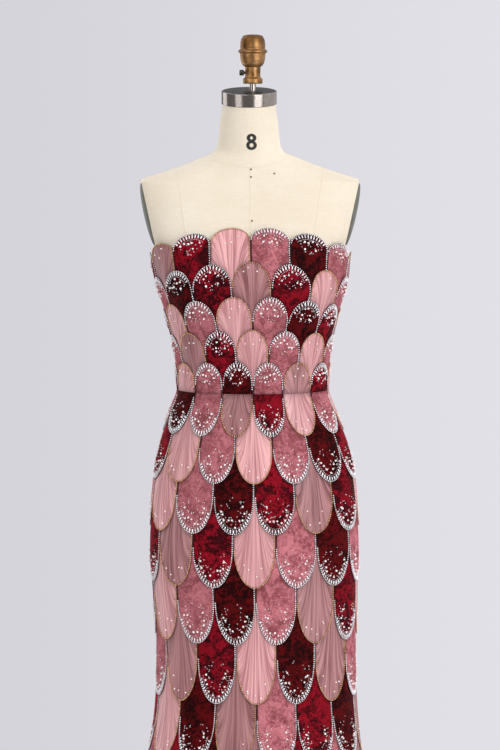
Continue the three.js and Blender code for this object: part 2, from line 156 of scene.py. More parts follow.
def meshFrom(
    name, points, faces, finish, rider=mainBody, uv=None, values=None, creaseAngle=None
):
    # Points are (n, 3) and faces (m, k), with the same number of corners k in each face
    mesh = bpy.data.meshes.new(name)
    faces = np.asarray(faces, np.int32)
    count, corners = faces.shape
    mesh.vertices.add(len(points))
    mesh.vertices.foreach_set("co", np.asarray(points, np.float32).ravel())
    mesh.loops.add(count * corners)
    mesh.loops.foreach_set("vertex_index", faces.ravel())
    mesh.polygons.add(count)
    mesh.polygons.foreach_set("loop_start", np.arange(count, dtype=np.int32) * corners)
    mesh.update(calc_edges=True)
    if uv is not None:
        layer = mesh.uv_layers.new(name="UVMap")
        layer.data.foreach_set("uv", np.asarray(uv, np.float32)[faces.ravel()].ravel())
    for key, data in (values or {}).items():
        data = np.asarray(data, np.float32)
        kind, field = ("FLOAT", "value") if data.ndim == 1 else ("FLOAT_COLOR", "color")
        mesh.attributes.new(key, kind, "POINT").data.foreach_set(field, data.ravel())
    return pieceFrom(mesh, finish, rider, creaseAngle)


def pieceFrom(mesh, finish, rider=mainBody, creaseAngle=None):
    # A mesh as a piece that rides on a body, smooth but for edges past the crease angle
    mesh.validate()
    mesh.shade_smooth()
    if creaseAngle is not None:
        mesh.set_sharp_from_angle(angle=math.radians(creaseAngle))
    mesh.materials.append(finish)
    piece = bpy.data.objects.new(mesh.name, mesh)
    bpy.context.scene.collection.objects.link(piece)
    if rider:
        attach(piece, rider)
    return piece


def gridFaces(rows, columns, closed=False):
    # Quads of a grid that is stored row by row; closed joins its last column to its first
    r, c = np.meshgrid(
        np.arange(rows - 1), np.arange(columns if closed else columns - 1), indexing="ij"
    )
    a = r * columns + c
    b = r * columns + (c + 1) % columns
    return np.stack([a, b, b + columns, a + columns], -1).reshape(-1, 4)


def shellFaces(rows, columns):
    # A thin closed sheet: an outer grid, an inner grid after it, and a rim between their edges
    outer = gridFaces(rows, columns)
    size = rows * columns
    grid = np.arange(size).reshape(rows, columns)
    edge = np.concatenate([grid[0, :-1], grid[:-1, -1], grid[-1, :0:-1], grid[:0:-1, 0]])
    after = np.roll(edge, -1)
    rim = np.stack([edge + size, after + size, after, edge], -1)
    return np.concatenate([outer, outer[:, ::-1] + size, rim])


def repeated(faces, pointsEach, copies):
    # The same faces for each copy of a shape's points
    start = np.arange(copies)[:, None, None] * pointsEach
    return (faces[None] + start).reshape(-1, faces.shape[1])


def turns(count):
    # Even angles round a full turn
    return np.linspace(0, 2 * np.pi, count, endpoint=False)


def unit(vectors):
    # Vectors divided by their lengths
    return vectors / np.linalg.norm(vectors, axis=-1, keepdims=True)


def mergedMesh(name, points, faces):
    # A mesh with its doubled points merged and its faces turned outwards
    mesh = bpy.data.meshes.new(name)
    mesh.from_pydata(points.reshape(-1, 3).tolist(), [], faces.tolist())
    edit = bmesh.new()
    edit.from_mesh(mesh)
    bmesh.ops.remove_doubles(edit, verts=edit.verts, dist=1e-6)
    bmesh.ops.recalc_face_normals(edit, faces=edit.faces)
    edit.to_mesh(mesh)
    edit.free()
    return mesh


def turnedPiece(name, profile, segments, finish, place=None, rider=mainBody, creaseAngle=35):
    # A profile of (radius, height) turned about Z; place maps its points to where it goes
    profile = np.asarray(profile, float)
    angle = turns(segments)
    radius, height = profile[:, :1], profile[:, 1:] + 0 * angle
    points = np.stack([radius * np.cos(angle), radius * np.sin(angle), height], -1).reshape(-1, 3)
    faces = gridFaces(len(profile), segments, closed=True)
    mesh = mergedMesh(name, place(points) if place else points, faces)
    return pieceFrom(mesh, finish, rider, creaseAngle)


def rounded(profile, radius, steps=4):
    # The profile with each inner corner cut back by radius and bent as a quadratic curve
    profile = np.asarray(profile, float)
    made = [profile[:1]]
    share = np.linspace(0, 1, steps + 1)[:, None]
    for before, corner, after in zip(profile[:-2], profile[1:-1], profile[2:]):
        low, high = np.linalg.norm(corner - before), np.linalg.norm(after - corner)
        start = corner + (before - corner) * min(radius / low, 0.45)
        end = corner + (after - corner) * min(radius / high, 0.45)
        made.append((1 - share) ** 2 * start + 2 * share * (1 - share) * corner + share ** 2 * end)
    made.append(profile[-1:])
    return np.concatenate(made)


# The body's shape, as in the part's sections

sectionNames = ("z", "halfWidth", "front", "back", "shift", "squareness")
sectionRows = np.array([  # lengths in millimetres
    (15, 300, 298, 304, 0, 2), (180, 248, 240, 246, 0, 2),
    (350, 197, 180, 186, 1, 2), (495, 167, 138, 142, 4, 2),
    (576, 158, 123, 124, 5.5, 2.05), (641, 156.5, 119, 121, 5.5, 2.1),
    (706, 158.5, 118, 126, 5, 2.15), (835, 163.5, 114, 136, 2.5, 2.2),
    (933, 158.5, 108, 127, 2.5, 2.2), (997, 145, 100, 111, 1.5, 2.2),
    (1040, 131, 94, 98, 0, 2.2), (1075, 119.5, 90, 89, 0, 2.2),
    (1105, 118, 90, 88, 0, 2.2), (1159, 124.5, 100, 95, -1, 2.3),
    (1224, 140, 116, 105, -1.5, 2.3), (1256, 150, 118, 108, -2, 2.28),
    (1290, 154.5, 115, 108, -3.5, 2.34), (1313, 158.5, 108, 105, -4.2, 2.5),
    (1335, 168, 99, 101, -4.2, 2.6), (1363, 176, 87, 95, -4.2, 2.7),
    (1395, 181.5, 73, 87, -4.2, 2.9), (1415, 183, 63, 79, -4.5, 2.9),
    (1423, 163.5, 59, 75, -5, 2.5), (1436, 123, 55, 71, -5, 2.2),
    (1451, 84.5, 51, 65, -5.5, 2), (1466, 53.5, 48, 60, -6, 2),
    (1483, 49, 46.5, 56, -6, 2), (1510, 46.3, 45.5, 48, -6, 2),
    (1535, 43, 43, 43, -6, 2), (1575, 43, 43, 43, -6, 2),
])
sectionRows[:, :-1] /= 1000

gown = {
    "waist": 1.080,
    "hem": 0.015,
    "hemBand": 0.012,
    "ease": 2.3 * mm,  # between the form and the cloth
    "cloth": 0.8 * mm,
    "seamGap": 0.3 * mm,
    "scalesRound": 14,
    "tongue": 0.75,  # a scale's free tip, as a share of its row's height
    "bodiceRows": 5,
    "topFront": 1.345,
    "topBack": 1.265,
    "topCurve": 1.8,  # the higher, the further round the front stays high
    "topScallop": 0.020,
    "skirtRows": 11,
    "firstSkirtRow": 0.074,
    "rowGrowth": 1.06,
    "flutes": 7,
    "fluteTop": 0.500,
    "fluteDepth": 0.015,
}
bust = {"z": 1.248, "s": 0.092, "height": 0.009, "spreadZ": 0.048, "spreadS": 0.056}


def smoothColumn(name, z):
    # Monotone cubic through a column of the sections: at each row the slope is the harmonic mean
    # of the slopes beside it, or 0 where they turn
    heights, values = sectionRows[:, 0], sectionRows[:, sectionNames.index(name)]
    slopes = np.diff(values) / np.diff(heights)
    before, after = slopes[:-1], slopes[1:]
    same = before * after > 0
    inner = np.where(same, 2 * before * after / np.where(same, before + after, 1), 0)
    tangents = np.concatenate([slopes[:1], inner, slopes[-1:]])
    i = np.clip(np.searchsorted(heights, z) - 1, 0, len(heights) - 2)
    span = heights[i + 1] - heights[i]
    t = np.clip((z - heights[i]) / span, 0, 1)
    return (
        values[i] * (1 + 2 * t) * (1 - t) ** 2
        + values[i + 1] * t * t * (3 - 2 * t)
        + span * (tangents[i] * t * (1 - t) ** 2 - tangents[i + 1] * t * t * (1 - t))
    )


# Half outlines at even steps along their length, one row for each level
levelZ = np.arange(0.004, 1.600, 0.002)
levelSteps = 256


def halfOutlines():
    # x = halfWidth sin(a)^p and y = -front or back times cos(a)^p, with p = 2 / squareness
    angle = np.linspace(0, np.pi, 1 + 3 * levelSteps // 2)
    level = {name: smoothColumn(name, levelZ)[:, None] for name in sectionNames[1:]}
    power = 2 / level["squareness"]
    x = level["halfWidth"] * np.abs(np.sin(angle)) ** power
    depth = np.where(angle < np.pi / 2, -level["front"], level["back"])
    y = depth * np.abs(np.cos(angle)) ** power
    steps = np.hypot(np.diff(x), np.diff(y))
    length = np.concatenate([np.zeros((len(levelZ), 1)), np.cumsum(steps, 1)], 1)
    even = np.linspace(0, 1, levelSteps + 1)
    xs = np.array([np.interp(even * l[-1], l, row) for l, row in zip(length, x)])
    ys = np.array([np.interp(even * l[-1], l, row) for l, row in zip(length, y)])
    return xs, ys, 2 * length[:, -1]


levelX, levelY, levelGirth = halfOutlines()


def girthAt(z):
    # The length round the body, linear between the levels
    return np.interp(z, levelZ, levelGirth)


def levelPoint(s, z):
    # Bilinear between the outlines; the left side mirrors the right
    s, z = np.broadcast_arrays(np.asarray(s, float), np.asarray(z, float))
    turned = s - np.round(s)
    along = np.abs(turned) * 2 * levelSteps
    up = (z - levelZ[0]) / (levelZ[1] - levelZ[0])
    i = np.clip(along.astype(int), 0, levelSteps - 1)
    j = np.clip(up.astype(int), 0, len(levelZ) - 2)
    a, b = along - i, up - j

    def read(table):
        low = table[j, i] * (1 - a) + table[j, i + 1] * a
        high = table[j + 1, i] * (1 - a) + table[j + 1, i + 1] * a
        return low * (1 - b) + high * b

    x = read(levelX) * np.where(turned < 0, -1, 1) + smoothColumn("shift", z)
    return np.stack([x, read(levelY), z], -1)


def swell(s, z):
    # The bust's two soft mounds, and the flutes of the flare
    side = np.abs(np.abs(s - np.round(s)) - bust["s"]) / bust["spreadS"]
    mound = bust["height"] * np.exp(-side ** 2 - ((z - bust["z"]) / bust["spreadZ"]) ** 2)
    down = np.clip((gown["fluteTop"] - z) / (gown["fluteTop"] - gown["hem"]), 0, 1)
    return mound + gown["fluteDepth"] * down ** 1.5 * np.cos(2 * np.pi * gown["flutes"] * s)


def bodyPoint(s, z, out=0.0):
    # The level point moved along the body's normal by out and the swell
    s, z = np.broadcast_arrays(np.asarray(s, float), np.asarray(z, float))
    ds, dz = 0.01, 0.002
    normal = np.cross(
        levelPoint(s + ds, z) - levelPoint(s - ds, z), levelPoint(s, z + dz) - levelPoint(s, z - dz)
    )
    normal /= np.linalg.norm(normal, axis=-1, keepdims=True)
    return levelPoint(s, z) + normal * (out + swell(s, z))[..., None]


def shareAt(x, z):
    # The share s on the front where the body's surface has this x, by twelve Newton steps
    s = (x - smoothColumn("shift", z)) / girthAt(z)
    for _ in range(12):
        here = bodyPoint(s, z)[..., 0]
        slope = (bodyPoint(s + 0.002, z)[..., 0] - here) / 0.002
        s = np.clip(s + (x - here) / np.maximum(slope, 0.05), -0.25, 0.25)
    return s


# The scales' layout

def neckline(s):
    # The bodice's top falls with |sin(pi s)| to the power of its curve
    fall = gown["topFront"] - gown["topBack"]
    return gown["topFront"] - fall * np.abs(np.sin(np.pi * s)) ** gown["topCurve"]


def skirtHeights():
    # Row heights grow by a steady share and are measured along the slope of the side
    heights, size = [gown["waist"]], gown["firstSkirtRow"]
    for _ in range(gown["skirtRows"]):
        z = heights[-1]
        slope = (smoothColumn("halfWidth", z - size) - smoothColumn("halfWidth", z)) / size
        heights.append(float(z - size / np.hypot(1, slope)))
        size *= gown["rowGrowth"]
    made = gown["waist"] - np.array(heights)
    reach = gown["waist"] - gown["hem"] - gown["hemBand"]
    return gown["waist"] - made * reach / made[-1]


skirtLevels = skirtHeights()


scale = {
    "underRoot": 0.25 * mm,  # from the base cloth to a scale's underside, at its root
    "underTip": 2.1 * mm,
    "thickness": 0.7 * mm,
    "puff": 1.5 * mm,
    "tuck": 8 * mm,  # how far a root reaches under the row before
    "spread": 0.985,  # of the pitch that a scale takes
    "across": 17,
    "along": 12,
    "cut": 0.02,  # half the slit in the scales that the centre back's seam divides
}
baseOut = gown["ease"] + gown["cloth"]


def halfCircle(u):
    # The square root of 1 - u squared
    return np.sqrt(np.maximum(1 - u ** 2, 0))


# Both layouts count their rows from the waist, where row 0 is sewn into the seam, and each row's
# root lies under the tips of the row before it.
# free is how far a row's tips reach past the notches between them, and notch those notches' height.
class Layout:
    def start(self):
        # The panel's edge at the waist seam, half a gap from the waist
        return gown["waist"] + self.up * gown["seamGap"] / 2

    def at(self, row, s, w):
        # The height at w up the tips: 0 at the notches between them and 1 at their ends
        return self.notch(row, s) + self.up * self.free(row, s) * w

    def edge(self, row, s):
        # Half ellipses from notch to notch, moved on by half a scale in every other row
        t = s * gown["scalesRound"] + np.where(row % 2, 0.5, 0)
        return self.at(row, s, halfCircle(2 * (t - np.floor(t)) - 1))

    def root(self, row, s):
        # Row 0 starts at the seam, and each other row a tuck under the row before
        before = self.edge(np.maximum(row - 1, 0), s) - self.up * scale["tuck"]
        return np.where(row == 0, self.start(), before)


class Bodice(Layout):
    # Its rows share the height from waist to neckline, and the last shows only its scallops
    up = 1
    rows = gown["bodiceRows"]

    def free(self, row, s):
        size = (neckline(s) - gown["waist"]) / self.rows
        return np.where(row == self.rows - 1, gown["topScallop"], gown["tongue"] * size)

    def notch(self, row, s):
        size = (neckline(s) - gown["waist"]) / self.rows
        return gown["waist"] + size * (row + 1) - self.free(row, s)


class Skirt(Layout):
    # Its rows lie between the skirt's levels
    up = -1
    rows = gown["skirtRows"]

    def free(self, row, s):
        size = skirtLevels[row] - skirtLevels[row + 1]
        return gown["tongue"] * size + 0 * s

    def notch(self, row, s):
        return skirtLevels[row + 1] + self.free(row, s)


layouts = {"bodice": Bodice(), "skirt": Skirt()}


def scaleList(layout):
    # One row of facts for each scale, with those on the centre back cut in two. Low and high are
    # the limits of u, which runs across a scale from -1 to 1.
    row, column = np.meshgrid(
        np.arange(layout.rows), np.arange(gown["scalesRound"]), indexing="ij"
    )
    row, column = row.ravel(), column.ravel()
    centre = (column + 0.5 - 0.5 * (row % 2)) / gown["scalesRound"]
    centre = np.where(centre > 0.5 + 1e-6, centre - 1, centre)
    low, high = -np.ones(len(row)), np.ones(len(row))
    divided = np.flatnonzero(np.abs(centre - 0.5) < 1e-6)
    high[divided] = -scale["cut"]
    facts = {"row": row, "column": column, "centre": centre, "low": low, "high": high}
    more = subset(facts, divided)
    more["low"], more["high"] = 0 * more["low"] + scale["cut"], np.ones(len(divided))
    return {key: np.concatenate([facts[key], more[key]]) for key in facts}


def subset(facts, chosen):
    # The facts of some of the scales
    return {key: value[chosen] for key, value in facts.items()}


def scaleTop(u, along):
    # Height over the body: it grows from root to tip, with a puff
    puff = scale["puff"] * (1 - np.abs(u) ** 3) * (1 - along ** 5) * np.minimum(4 * along, 1)
    rise = scale["underRoot"] + (scale["underTip"] - scale["underRoot"]) * along
    return baseOut + rise + scale["thickness"] + puff


def shareOf(centre, u):
    # The share of the girth at u across a scale
    return centre + scale["spread"] * u / (2 * gown["scalesRound"])


def onScale(layout, facts, u, w, lift=0.0):
    # The point of each scale at u across and w up its tip, lifted off its top
    s = shareOf(facts["centre"][:, None], u)
    row = facts["row"][:, None] + np.zeros(s.shape, int)
    z, root = layout.at(row, s, w), layout.root(row, s)
    along = np.clip((z - root) / (layout.at(row, s, halfCircle(u)) - root), 0, 1)
    return bodyPoint(s, z, scaleTop(u, along) + lift), s, z


# Colours of the scales, in a cycle that moves on by three at each row, with more of the dark
# velvets towards the hem
dyes = {
    # The lit and deep colours are lit and shaded copies of each cloth: painted light and shade
    "wine": ("#860a1b", "#2e0308", 0.0, 0.8),  # lit pile, deep pile, organza, crush
    "dark": ("#560508", "#1a0001", 0.0, 0.6),
    "rose": ("#bb7177", "#834348", 0.0, 0.3),
    "pale": ("#e2aaa8", "#a66c6f", 1.0, 0.0),
    "mauve": ("#b2807f", "#724345", 1.0, 0.0),
}
dyeCycle = "rose mauve wine pale rose pale rose dark wine mauve wine pale rose dark".split()
lowCycle = "rose mauve wine pale dark mauve rose wine dark mauve wine rose mauve dark".split()
lowFrom = {"bodice": 99, "skirt": 5}  # the first row of the second cycle


def dyeOf(facts, part, turn):
    # The dye at column + 3 rows + turn in the cycle, counted round
    index = (facts["column"] + 3 * facts["row"] + turn) % len(dyeCycle)
    names = list(dyes)
    high, low = ([names.index(cycle[i]) for i in index] for cycle in (dyeCycle, lowCycle))
    return np.where(facts["row"] < lowFrom[part], high, low)


print("shape worked out: waist", round(float(girthAt(gown["waist"])), 3), "m round")


# Finishes

def clothFinish():
    # Crushed velvet and gathered organza on one material: the scale's own colours are attributes,
    # a lit and a shaded copy of each cloth. Velvet: lit pile over deep pile, by two noises: the
    # crushed pile's own mottle, with painted sheen. Organza: streaks of noise that fan out from a
    # point below the scale's root, at the angle atan(u / (v + 0.55)): painted light and shade of
    # its gathers.
    f = Finish("velvetAndOrganza")
    organza, crush = f.attribute("organza"), f.attribute("crush")
    lot = f.attribute("lot") * 50
    u, v, _ = f.parts(f.node("ShaderNodeUVMap", {"uv_map": "UVMap"}))
    broad = f.noise(0.026, 2.0, 0.55, 1.2)
    small = f.noise(0.0045, 4.0, 0.65, 0.6)
    fine = f.noise(0.0012, 2.0)
    # Painted sheen on the crushed velvet, over its own mottle
    pileAndSheen = (broad * 0.5 + small * 0.5 - 0.5) * (crush * 4.5 + 3.2) + (fine - 0.5) * 1.8 + 0.5
    fan = u.arctan(v + 0.55)
    wide = f.node("ShaderNodeCombineXYZ", None, [fan * 9, v * 0.8, lot])
    narrow = f.node("ShaderNodeCombineXYZ", None, [fan * 42, v * 1.2, lot])
    gathers, pleats = f.noise(1, 3.0, 0.55, 0.4, at=wide), f.noise(1, 2.0, 0.5, 0.0, at=narrow)
    # Painted light and shade of the organza's gathers
    gatherShading = (gathers * 0.6 + pleats * 0.4 - 0.5) * 3.4 + 0.55
    lit = (pileAndSheen * (1 - organza) + gatherShading * organza).ramp(0.0, 1.0)
    dyed = f.mix(lit, f.attribute("shadedDye", 0), f.attribute("litDye", 0))
    # A dark strip along each edge under the seeds: thread, and painted shade between the seeds
    threadAndShade = (1 - f.attribute("rim").ramp(0.0018, 0.0030)) * (0.8 - organza * 0.35)
    dyed = f.mix(threadAndShade, dyed, colour("#24100e"))
    # Soft shade close behind the tips of the row before: 1 - 0.45 e^(-distance / 5 mm)
    shade = 1 - (f.attribute("behind") * -200).exponent() * 0.45
    base = f.node("ShaderNodeVectorMath", {"operation": "SCALE"}, {0: dyed, 3: shade})
    velvetRelief = (broad * 0.7 + small * 0.5 + fine * 0.1) * (1 - organza)
    relief = velvetRelief + (gathers + pleats * 0.35) * organza
    rough = 0.72 - organza * 0.3 + (1 - organza) * (0.5 - small) * 0.5
    return f.done(
        Base_Color=base, Roughness=rough, Normal=f.bump(relief, 0.0016, 0.9),
        Sheen_Weight=0.02, Sheen_Roughness=0.3, Sheen_Tint=colour("#ff9098"),
        Specular_IOR_Level=0.06, Coat_Weight=organza * 0.4, Coat_Roughness=0.28,
    )


def baseClothFinish():
    # Mauve ground cloth: a fine twill with a slight mottle
    f = Finish("groundCloth")
    x, y, z = f.parts(f.place())
    twill = ((x + y + z * 1.4) * (2 * math.pi / 0.0016)).sine() * 0.5 + 0.5
    base = f.mix(f.noise(0.02, 3.0), colour("#7d4450"), colour("#9a606c"))
    return f.done(
        Base_Color=base, Roughness=0.8, Normal=f.bump(twill, 0.0002, 0.5), Sheen_Weight=0.2
    )


def beadFinish(name, light, dark, metallic, roughness):
    # Glass and metal beads, each a little different from the next
    f = Finish(name)
    base = f.mix(f.attribute("each"), colour(dark), colour(light))
    rough = roughness + f.noise(0.003, 1.0) * 0.08
    return f.done(
        Base_Color=base, Metallic=metallic, Roughness=rough, Coat_Weight=0.6, Coat_Roughness=0.08
    )


def canvasFinish():
    # Plain weave: crossed sines a thread apart, one pair for each direction that the surface
    # faces, with slubs and a slight yellowing
    f = Finish("formCanvas")
    x, y, z = [(part * (2 * math.pi / 0.0011)).sine() for part in f.parts(f.place())]
    facing = [part * part for part in f.parts(f.node("ShaderNodeNewGeometry", output=1))]
    slub = f.noise(0.012, 2.0, stretch=(6, 6, 0.6)) + f.noise(0.012, 2.0, stretch=(0.6, 0.6, 6))
    weave = y * z * facing[0] + x * z * facing[1] + x * y * facing[2]
    shade = f.noise(0.14, 3.0) * 0.55 + slub * 0.22 + weave * 0.06
    base = f.mix(shade.ramp(0.15, 0.95), colour("#decfb4"), colour("#f4ecdb"))
    return f.done(
        Base_Color=base, Roughness=0.85, Normal=f.bump(weave + slub * 0.9, 0.00018, 0.7),
        Sheen_Weight=0.15, Specular_IOR_Level=0.3,
    )


def metalFinish(
    name, light, dark, roughness, metallic=1.0, grain=(1, 1, 12), worn=0.5, shadedTop=None
):
    # Brushed or aged metal: a grain stretched one way, and blotches where it has dulled. With
    # shadedTop, a lowest and a highest height, it darkens between them: painted shade on the top.
    f = Finish(name)
    lines = f.noise(0.004, 3.0, 0.6, stretch=grain)
    blotch = f.noise(0.020, 4.0, 0.6)
    bright = (blotch * worn + lines * (1 - worn)).ramp(0.3, 0.7)
    if shadedTop:
        # Painted shade: darker towards the top
        bright = bright * (1 - f.parts(f.place())[2].ramp(*shadedTop) * 0.8)
    base = f.mix(bright, colour(dark), colour(light))
    rough = roughness + (lines - 0.5) * 0.16 + (blotch - 0.5) * 0.2 * worn
    return f.done(
        Base_Color=base, Metallic=metallic, Roughness=rough, Normal=f.bump(lines, 0.00005, 0.5)
    )


cloth = clothFinish()
groundCloth = baseClothFinish()
silverBead = beadFinish("silverLinedGlass", "#ffffff", "#c9c3c3", 0.1, 0.2)
pearlBead = beadFinish("pearl", "#fffaf4", "#ead9d4", 0.0, 0.2)
goldBead = beadFinish("goldSeed", "#efc47f", "#a87238", 0.35, 0.26)
canvas = canvasFinish()
seamThread = metalFinish("seamThread", "#e6d8bc", "#d6c5a4", 0.9, 0.0)
steel = metalFinish("polishedSteel", "#c2b9b0", "#8a8179", 0.14, grain=(10, 10, 0.6), worn=0.1)
darkSteel = metalFinish("darkSteel", "#6d6a66", "#3d3b39", 0.32)
# Its shadedTop paints shade on the finial's dome
bronze = metalFinish(
    "antiqueBronze", "#c39663", "#68441f", 0.38, 0.9, (1, 1, 6), 0.8, shadedTop=(1.616, 1.650)
)
plateMetal = metalFinish("armPlateMetal", "#83857a", "#6b6d64", 0.5, 0.55)
standPaint = metalFinish("blackPaint", "#2c2c2f", "#1c1c1e", 0.42, 0.1, grain=(1, 1, 1))
ink = metalFinish("blackInk", "#1d1a17", "#100e0c", 0.6, 0.0)
zipMetal = metalFinish("darkNickel", "#8a8580", "#5c5854", 0.3)
print("finishes made")


# Ground cloth: six panels, each a closed thin shell

panels = {  # lowest and highest share of the girth
    "front": (-0.25, 0.25),
    "back_right": (0.25, 0.5),
    "back_left": (0.5, 0.75),
}
panelGrid = {"bodice": 40, "skirt": 90, "columnsPerQuarter": 36, "underScallops": 2 * mm}


def panelEnd(part, s):
    # The free edge; the bodice's follows the last scales, a little lower, so that they hang over it
    layout = layouts[part]
    top = layout.edge(layout.rows - 1, s) - panelGrid["underScallops"]
    return top if part == "bodice" else gown["hem"]


def groundPanel(part, name, low, high):
    # A grid of outer points from the waist seam to the free edge, and one of inner points
    rows = panelGrid[part]
    columns = 1 + int(panelGrid["columnsPerQuarter"] * (high - low) * 4)
    share, v = np.meshgrid(np.linspace(0, 1, columns), np.linspace(0, 1, rows))
    start = layouts[part].start()
    z = start + (panelEnd(part, low + (high - low) * share) - start) * v
    gap = gown["seamGap"] / 2 / girthAt(z)
    s = low + gap + (high - low - 2 * gap) * share
    outer, inner = bodyPoint(s, z, baseOut), bodyPoint(s, z, gown["ease"])
    faces = shellFaces(rows, columns)[:, ::layouts[part].up]
    points = np.concatenate([outer.reshape(-1, 3), inner.reshape(-1, 3)])
    piece = meshFrom(f"ground_{part}_{name}", points, faces, groundCloth)
    # The flat cut: its width at each level times the slope length between levels
    lengths = np.linalg.norm(np.diff(outer[:, columns // 2], axis=0), axis=1)
    widths = np.linalg.norm(np.diff(outer, axis=1), axis=2).sum(1)
    area = float((lengths * (widths[1:] + widths[:-1]) / 2).sum())
    return piece, (float(widths.max()), float(lengths.sum())), area


# Scales, one mesh of them for each panel

def rimDistance(layout, row, s, z, u):
    # Along a line to the tip's centre above the notches, and straight across below them
    width = girthAt(layout.notch(row, s)) / gown["scalesRound"] / 2
    free = layout.free(row, s)
    w = layout.up * (z - layout.notch(row, s)) / free
    reach = np.maximum(np.hypot(u, w), 1e-6)
    above = (1 - reach) * np.hypot(width * u, free * w) / reach
    return np.maximum(np.where(w > 0, above, (1 - np.abs(u)) * width), 0)


def scaleShell(layout, facts):
    # u follows a sine so that the sides of the tips have enough points; v runs root to edge. Gives
    # the points of the tops and undersides, and at each its u, v, distance from the row before and
    # distance from the edge.
    low, high = facts["low"][:, None, None], facts["high"][:, None, None]
    angle = np.linspace(-np.pi / 2, np.pi / 2, scale["across"])
    u = low + (high - low) * ((np.sin(angle) + 1) / 2)
    v = np.linspace(0, 1, scale["along"])[:, None]
    u, v, row = np.broadcast_arrays(u, v, facts["row"][:, None, None])
    s = shareOf(facts["centre"][:, None, None], u)
    root = layout.root(row, s)
    z = root + (layout.at(row, s, halfCircle(u)) - root) * v
    top = scaleTop(u, v)
    points = np.stack([bodyPoint(s, z, top), bodyPoint(s, z, top - scale["thickness"])], 1)
    behind = np.maximum(np.abs(z - root) - scale["tuck"] * (row > 0), 0)
    fields = u, v, behind, rimDistance(layout, row, s, z, u)
    return points.reshape(-1, 3), [np.stack([field, field], 1).ravel() for field in fields]


def scaleMesh(part, name, facts, kinds):
    # The dye's lightness varies a little from scale to scale, and so does its lot of noise
    layout = layouts[part]
    points, (u, v, behind, rim) = scaleShell(layout, facts)
    faces = shellFaces(scale["along"], scale["across"])[:, ::layout.up]
    each = 2 * scale["along"] * scale["across"]
    lit, shadedDye, organza, crush = zip(*dyes.values())
    vary = rng.uniform(0.9, 1.1, (len(kinds), 1))
    # Lit and shaded copies of each cloth, for the finish's painted light and shade
    litDye = np.array([colour(code) for code in lit])[kinds]
    litDye[:, :3] *= vary
    own = {
        "litDye": np.clip(litDye, 0, 1),
        "shadedDye": np.array([colour(code) for code in shadedDye])[kinds],
        "organza": np.array(organza)[kinds],
        "crush": np.array(crush)[kinds],
        "lot": rng.uniform(0, 1, len(kinds)),
    }
    values = {key: np.repeat(data, each, 0) for key, data in own.items()}
    return meshFrom(
        f"scales_{part}_{name}", points, repeated(faces, each, len(kinds)), cloth,
        uv=np.stack([u, v], -1), values={**values, "behind": behind, "rim": rim}, creaseAngle=60,
    )


# Beads, joined from small shapes of a few dozen faces

def dotShape():
    # An octahedron, its axis along the thread
    corners = np.array([(1, 0, 0), (-1, 0, 0), (0, 1, 0), (0, -1, 0), (0, 0, 1), (0, 0, -1)], float)
    faces = [(0, 2, 4), (2, 1, 4), (1, 3, 4), (3, 0, 4), (2, 0, 5), (1, 2, 5), (3, 1, 5), (0, 3, 5)]
    return corners, np.array(faces)


def fan(tip, first, second):
    # Triangles from one tip to pairs of points
    return np.stack([np.full(len(first), tip), first, second], -1)


def pearlShape(around=6, levels=3):
    # A small globe: rings at even angles between two poles
    down = np.linspace(0, np.pi, levels + 2)[1:-1, None]
    turn = turns(around)
    rings = [np.sin(down) * np.cos(turn), np.sin(down) * np.sin(turn), np.cos(down) + 0 * turn]
    points = np.concatenate([np.stack(rings, -1).reshape(-1, 3), [(0, 0, 1), (0, 0, -1)]])
    quads = gridFaces(levels, around, closed=True)
    i = np.arange(around)
    after, last = (i + 1) % around, (levels - 1) * around
    faces = [
        quads[:, [0, 2, 1]],
        quads[:, [0, 3, 2]],
        fan(levels * around, i, after),
        fan(levels * around + 1, last + after, last + i),
    ]
    return points, np.concatenate(faces)


def bugleShape(sides=6):
    # A short tube along X with closed ends
    angle = turns(sides)
    ring = np.stack([0 * angle, np.cos(angle), np.sin(angle)], -1)
    points = np.concatenate([ring - (1, 0, 0), ring + (1, 0, 0), [(-1.15, 0, 0), (1.15, 0, 0)]])
    i = np.arange(sides)
    after = (i + 1) % sides
    faces = [
        np.stack([i, after, after + sides], -1),
        np.stack([i, after + sides, i + sides], -1),
        fan(2 * sides, after, i),
        fan(2 * sides + 1, i + sides, after + sides),
    ]
    return points, np.concatenate(faces)


def beadMesh(name, shape, centres, axes, normals, sizes, finish, slot):
    # Each copy is scaled by its three sizes along its axis, its side and its normal
    corners, faces = shape
    axes, normals, sizes = (np.broadcast_to(a, centres.shape) for a in (axes, normals, sizes))
    frames = np.stack([axes, np.cross(normals, axes), normals], 1)
    points = centres[:, None] + np.einsum("pk,nk,nkd->npd", corners, sizes, frames)
    each = np.repeat(rng.uniform(0, 1, len(centres)) ** 0.6, len(corners))
    return meshFrom(
        name, points.reshape(-1, 3), repeated(faces, len(corners), len(centres)), finish,
        values={"each": each},
    )


def edgeAngles(layout, facts, own):
    # Angles on the half ellipse within the bead's span, evenly spaced along its real length, and
    # as many as the mean edge has room for
    angle = np.linspace(-own["span"], own["span"], 97)
    u = np.sin(angle) + 0 * facts["low"][:, None]
    edge, _, _ = onScale(layout, facts, u, np.cos(angle))
    length = np.linalg.norm(np.diff(edge, axis=1), axis=-1)
    length = np.concatenate([np.zeros((len(edge), 1)), np.cumsum(length, 1)], 1)
    count = max(3, int(length[:, -1].mean() / own["spacing"]))
    even = (np.arange(count) + 0.5) / count
    return np.array([np.interp(even * l[-1], l, angle) for l in length])


